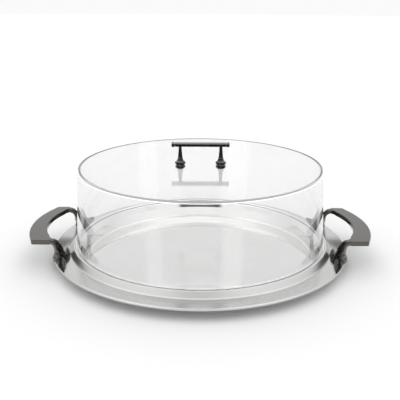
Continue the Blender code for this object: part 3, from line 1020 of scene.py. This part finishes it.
    def build(self) -> None:
        """Make the right handle, and the left one as its mirror image."""
        source = self.casting()
        for side in Side:
            mesh = source.data.copy()
            mesh.name = f"{side.label}_handle_casting"
            if side is Side.LEFT:
                mesh.transform(Matrix.Diagonal((-1.0, 1.0, 1.0, 1.0)))
                mesh.flip_normals()
            mesh.materials.clear()
            mesh.materials.append(CASTING.material())
            mesh.shade_smooth()
            piece = placed(mesh.name, mesh)
            bore(piece, [(side.value * SCREW_X, y * SCREW_Y, *self.drill, BORE_RADIUS)
                         for y in (-1, 1)])
            install(piece, Body.BASE, Slot.CASTING, f"{side.label}_handle")
        bpy.data.objects.remove(source, do_unlink=True)


@dataclass
class Cover:
    """Clear flat-topped cover, one moulding drilled for its handle."""

    foot_z: float = 20.7
    foot_radius: float = 147.4
    top_radius: float = 142.1
    lid_top: float = 112.0
    wall: float = 2.8
    lid: float = 2.8
    edge_fillet: float = 1.0
    inner_fillet: float = 0.5

    def build(self) -> None:
        """Make the moulding from one closed outline."""
        inner_top = self.top_radius - self.wall
        corners = [(0.0, self.lid_top - self.lid, 0.0),
                   (inner_top, self.lid_top - self.lid, self.inner_fillet),
                   (self.foot_radius - self.wall, self.foot_z, 0.35),
                   (self.foot_radius, self.foot_z, 0.35),
                   (self.top_radius, self.lid_top, self.edge_fillet),
                   (0.0, self.lid_top, 0.0)]
        piece = turned("cover_moulding", rounded(corners, 8), ACRYLIC, 256, sharp=60.0)
        bore(piece, [(side.value * POST_X, 0.0, self.lid_top - 2 * self.lid,
                      self.lid_top + self.lid, BORE_RADIUS) for side in Side])
        install(piece, Body.COVER, Slot.ACRYLIC, "cover_shell")


@dataclass
class BarHandle:
    """Bar on two turned posts, with lobed flanges above the lid and cap nuts below it."""

    gap: float = 0.3
    bar_height: float = 135.5
    bar_radius: float = 2.65
    bar_half_length: float = 33.8
    cap_length: float = 3.4
    cap_radius: float = 3.0
    spigot_radius: float = 1.4
    spigot_length: float = 4.0
    post_foot: float = 2.65
    post_head: float = 1.75
    head_spigot: float = 1.1
    flange_low: float = 113.1
    flange_height: float = 5.2
    flange_radius: float = 6.35
    flange_neck: float = 3.5
    lobes: int = 8
    lobe_depth: float = 0.13
    lobe_power: float = 0.8
    nut_top: float = 108.1
    nut_height: float = 3.8
    nut_skirt: float = 1.2
    nut_radius: float = 5.8
    nut_bore: float = 2.6
    shank: float = 2.0

    def lay(self, piece: bpy.types.Object, towards: int) -> None:
        """Turn a piece made along Z so that it lies along X at the bar's height."""
        turn = Matrix.Rotation(towards * math.pi / 2, 4, "Y")
        piece.data.transform(Matrix.Translation((0.0, 0.0, self.bar_height * MM)) @ turn)

    def build_bar(self) -> None:
        """The round bar, blind-bored at its ends and from below for the posts."""
        length = self.bar_half_length - self.cap_length - self.gap
        hole, depth = self.spigot_radius + self.gap, self.spigot_length + self.gap
        half = [(0.0, length - depth, 0.0), (hole, length - depth, 0.0),
                (hole, length, 0.15), (self.bar_radius, length, 0.3)]
        outline = rounded([(r, -z, f) for r, z, f in half]
                          + [(r, z, f) for r, z, f in reversed(half)], 4)
        piece = turned("bar", outline, BAR, 96)
        self.lay(piece, 1)
        bore(piece, [(side.value * POST_X, 0.0, self.bar_height - 4.0,
                      self.bar_height, self.head_spigot + self.gap) for side in Side])
        install(piece, Body.COVER, Slot.TURNED, "grip_bar")

    def build_cap(self, side: Side) -> None:
        """A turned end button with a crowned face and a shallow groove."""
        base, end, r = self.bar_half_length - self.cap_length, self.bar_half_length, \
            self.cap_radius
        corners = [(0.0, base - self.spigot_length, 0.0),
                   (self.spigot_radius, base - self.spigot_length, 0.3),
                   (self.spigot_radius, base, 0.0), (r - 0.1, base, 0.25),
                   (r, base + 0.9, 0.2), (r - 0.22, base + 1.2, 0.1),
                   (r, base + 1.5, 0.2), (r, end - 0.35, 0.5),
                   (r - 0.9, end, 0.8), (0.0, end, 0.0)]
        piece = turned(f"bar_button_{side.label}", rounded(corners, 5), BAR, 80)
        self.lay(piece, side.value)
        install(piece, Body.COVER, Slot.TURNED, f"grip_bar_cap_{side.label}")

    def lobed(self, radius: float, _height: float, angle: float) -> float:
        """Factor that scallops the flange into lobes, fading towards its neck."""
        share = (radius - self.flange_neck) / (self.flange_radius - self.flange_neck)
        wave = (0.5 - 0.5 * math.cos(self.lobes * angle)) ** self.lobe_power
        return 1.0 - self.lobe_depth * max(share, 0.0) * wave

    def build_stack(self, side: Side) -> None:
        """Post, flange and cap nut on one side."""
        low, top = self.flange_low, self.flange_low + self.flange_height
        bell = [(BORE_RADIUS, low, 0.0), (self.flange_radius - 0.4, low, 0.3),
                (self.flange_radius, low + 0.7, 0.6), (self.flange_radius - 0.5, low + 1.9, 1.2),
                (self.flange_neck + 0.7, low + 3.3, 0.8), (self.flange_neck, low + 3.9, 0.3),
                (self.flange_neck, top - 0.1, 0.3), (BORE_RADIUS, top, 0.0)]
        flange = turned(f"lobed_flange_{side.label}", rounded(bell, 5), TURNED, 96,
                        self.lobed)

        skirt = self.nut_top - self.nut_skirt
        dome = arc((0.0, 0.0), 1.0, -90, 0, 14)
        crown = [(self.nut_radius * r, skirt + z * (self.nut_height - self.nut_skirt))
                 for r, z in dome]
        nut_outline = crown + [(self.nut_radius, self.nut_top - 0.2),
                               (self.nut_radius - 0.2, self.nut_top),
                               (BORE_RADIUS, self.nut_top),
                               (BORE_RADIUS, self.nut_top - self.nut_bore),
                               (0.0, self.nut_top - self.nut_bore)]
        nut_outline[0] = (0.0, nut_outline[0][1])
        nut = turned(f"cap_nut_{side.label}", nut_outline, TURNED, 80)

        foot, head = top + self.gap, self.bar_height - self.bar_radius - self.gap
        tip = self.nut_top - self.nut_bore + self.gap
        stem = [(0.0, tip, 0.0), (self.shank, tip, 0.3), (self.shank, foot, 0.0),
                (self.post_foot + 0.35, foot, 0.25), (self.post_foot + 0.75, foot + 0.5, 0.4),
                (self.post_foot + 0.3, foot + 1.1, 0.3), (self.post_foot, foot + 1.7, 0.6),
                (self.post_foot - 0.35, foot + 6.0, 4.0), (self.post_head, head - 1.1, 1.0),
                (self.post_head + 0.25, head - 0.5, 0.3), (self.post_head, head, 0.2),
                (self.head_spigot, head, 0.0), (self.head_spigot, self.bar_height - 0.3, 0.1),
                (0.0, self.bar_height - 0.3, 0.0)]
        post = turned(f"turned_post_{side.label}", rounded(stem, 5), TURNED, 64)

        for piece, node in ((flange, "grip_flange"), (nut, "grip_nut"), (post, "grip_post")):
            piece.data.transform(Matrix.Translation((side.value * POST_X * MM, 0, 0)))
            install(piece, Body.COVER, Slot.TURNED, f"{node}_{side.label}")

    def build(self) -> None:
        """Make the whole handle."""
        self.build_bar()
        for side in Side:
            self.build_cap(side)
            self.build_stack(side)


@dataclass
class Fasteners:
    """Screws, washers and gaskets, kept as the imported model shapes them."""

    def build(self, nodes: dict[str, bpy.types.Object]) -> None:
        """Dress each kept node.

        Args:
            nodes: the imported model's nodes by name.
        """
        for name, node in sorted(nodes.items()):
            if "gasket" in name or name.startswith("grip_washer"):
                finish = WASHER
            elif "screw" in name or "washer" in name:
                finish = FASTENER
            else:
                continue
            node.data.materials.clear()
            node.data.materials.append(finish.material())
            log.info("%s: kept, finish %s", name, finish.name)


# Studio -------------------------------------------------------------------------------------


@dataclass(frozen=True)
class Card:
    """A studio card with soft side edges that shows only in reflections."""

    name: str
    centre: tuple[float, float, float]
    width: float
    height: float
    radiance: float
    solid: float = 0.36
    fade: float = 0.26
    aim_height: float = 0.05

    def material(self) -> bpy.types.Material:
        """Glow that fades out towards the card's sides."""
        material = bpy.data.materials.new(self.name)
        material.use_nodes = True
        tree = material.node_tree
        tree.nodes.clear()
        shader = ShaderBuilder(tree)
        across = shader.along("X")
        half = (across * across) ** 0.5
        body = 1.0 - half.above(self.width * self.solid, self.width * self.fade)
        glow = shader.node("ShaderNodeEmission", {}, {"Color": (1.0, 1.0, 1.0, 1.0),
                                                      "Strength": self.radiance})
        clear = shader.node("ShaderNodeBsdfTransparent")
        mixed = shader.node("ShaderNodeMixShader", {}, {0: body, 1: clear, 2: glow})
        output = tree.nodes.new("ShaderNodeOutputMaterial")
        tree.links.new(mixed.socket, output.inputs["Surface"])
        return material

    def build(self) -> bpy.types.Object:
        """Make the card, facing the middle of the object."""
        w, h = self.width / 2, self.height / 2
        mesh = bpy.data.meshes.new(self.name)
        mesh.from_pydata([(-w, -h, 0), (w, -h, 0), (w, h, 0), (-w, h, 0)], [], [(0, 1, 2, 3)])
        mesh.materials.append(self.material())
        card = placed(self.name, mesh)
        card.location = self.centre
        facing = Vector((0.0, 0.0, self.aim_height)) - Vector(self.centre)
        card.rotation_euler = facing.to_track_quat("Z", "Y").to_euler()
        card.visible_camera = False
        card.visible_diffuse = False
        return card


@dataclass
class Studio:
    """Paper floor, light tent, cards and camera."""

    floor_radius: float = 9.0
    floor_gap: float = 0.0004
    back_light: float = 1.20
    front_light: float = 1.55
    top_light: float = 2.45
    zenith_light: float = 1.25

    # middle and width of each change of light, as parts of the direction's Y or Z
    back_rise: Point = (-0.1, 1.1)
    top_rise: Point = (0.75, 0.6)
    zenith_rise: Point = (0.93, 0.12)
    cards: tuple[Card, ...] = (
        Card("camera_side_flag", (0.0, -1.3, 0.81), 1.38, 0.40, 0.01),
        Card("strip_right", (0.19, 2.6, 1.15), 0.17, 1.9, 1.08),
        Card("strip_left", (-0.275, 2.6, 1.15), 0.13, 1.9, 1.06),
    )
    camera_place: tuple[float, float, float] = (0.0, -0.7309, 0.3039)
    pitch: float = 17.9
    roll: float = 0.277
    lens: float = 57.83
    sensor: float = 36.0
    shift: float = -0.0008
    far_clip: float = 50.0

    def build_floor(self) -> None:
        """A large disc of white paper."""
        ring = arc((0.0, 0.0), self.floor_radius, 0.0, 360.0, 96)[:-1]
        mesh = bpy.data.meshes.new("paper_floor")
        mesh.from_pydata([(x, y, 0.0) for x, y in ring], [], [list(range(len(ring)))])
        mesh.materials.append(StudioPaper().material())
        floor = placed("paper_floor", mesh)
        floor.location.z = -self.floor_gap

    def build_tent(self) -> None:
        """Light from all round: brightest high up, softer behind and straight above."""
        world = bpy.data.worlds.new("light_tent")
        bpy.context.scene.world = world
        world.use_nodes = True
        tree = world.node_tree
        tree.nodes.clear()
        shader = ShaderBuilder(tree)
        direction = shader.node("ShaderNodeTexCoord", output="Generated")
        y, z = (shader.node("ShaderNodeSeparateXYZ", {}, {0: direction}, output=axis)
                for axis in "YZ")
        back = y.above(*self.back_rise)
        top = z.above(*self.top_rise)
        level = back * (self.back_light - self.front_light) + self.front_light
        level = level * (1.0 - top) + top * self.top_light
        zenith = z.above(*self.zenith_rise)
        level = level * (1.0 - zenith) + zenith * self.zenith_light
        light = shader.node("ShaderNodeBackground", {}, {"Strength": level})
        output = tree.nodes.new("ShaderNodeOutputWorld")
        tree.links.new(light.socket, output.inputs["Surface"])

    def build_camera(self) -> None:
        """The camera, level with the sides of the frame but for a trace of roll."""
        data = bpy.data.cameras.new("camera")
        data.lens = self.lens
        data.sensor_width = self.sensor
        data.shift_x = self.shift
        data.clip_end = self.far_clip
        camera = placed("camera", data)
        look = Matrix.Rotation(math.radians(90.0 - self.pitch), 4, "X") \
            @ Matrix.Rotation(math.radians(self.roll), 4, "Z")
        camera.matrix_world = Matrix.Translation(self.camera_place) @ look
        bpy.context.scene.camera = camera

    def build(self) -> None:
        """Set up the whole studio."""
        bpy.context.scene.view_settings.view_transform = "Standard"
        self.build_camera()
        self.build_tent()
        self.build_floor()
        for card in self.cards:
            card.build()


def main() -> None:
    """Build every sub-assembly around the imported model."""
    logging.basicConfig(level=logging.INFO, format="%(name)s: %(message)s")
    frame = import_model()
    Studio().build()
    Tray().build()
    SideHandle().build()
    Cover().build()
    BarHandle().build()
    Fasteners().build(frame["nodes"])


if __name__ == "__main__":
    main()
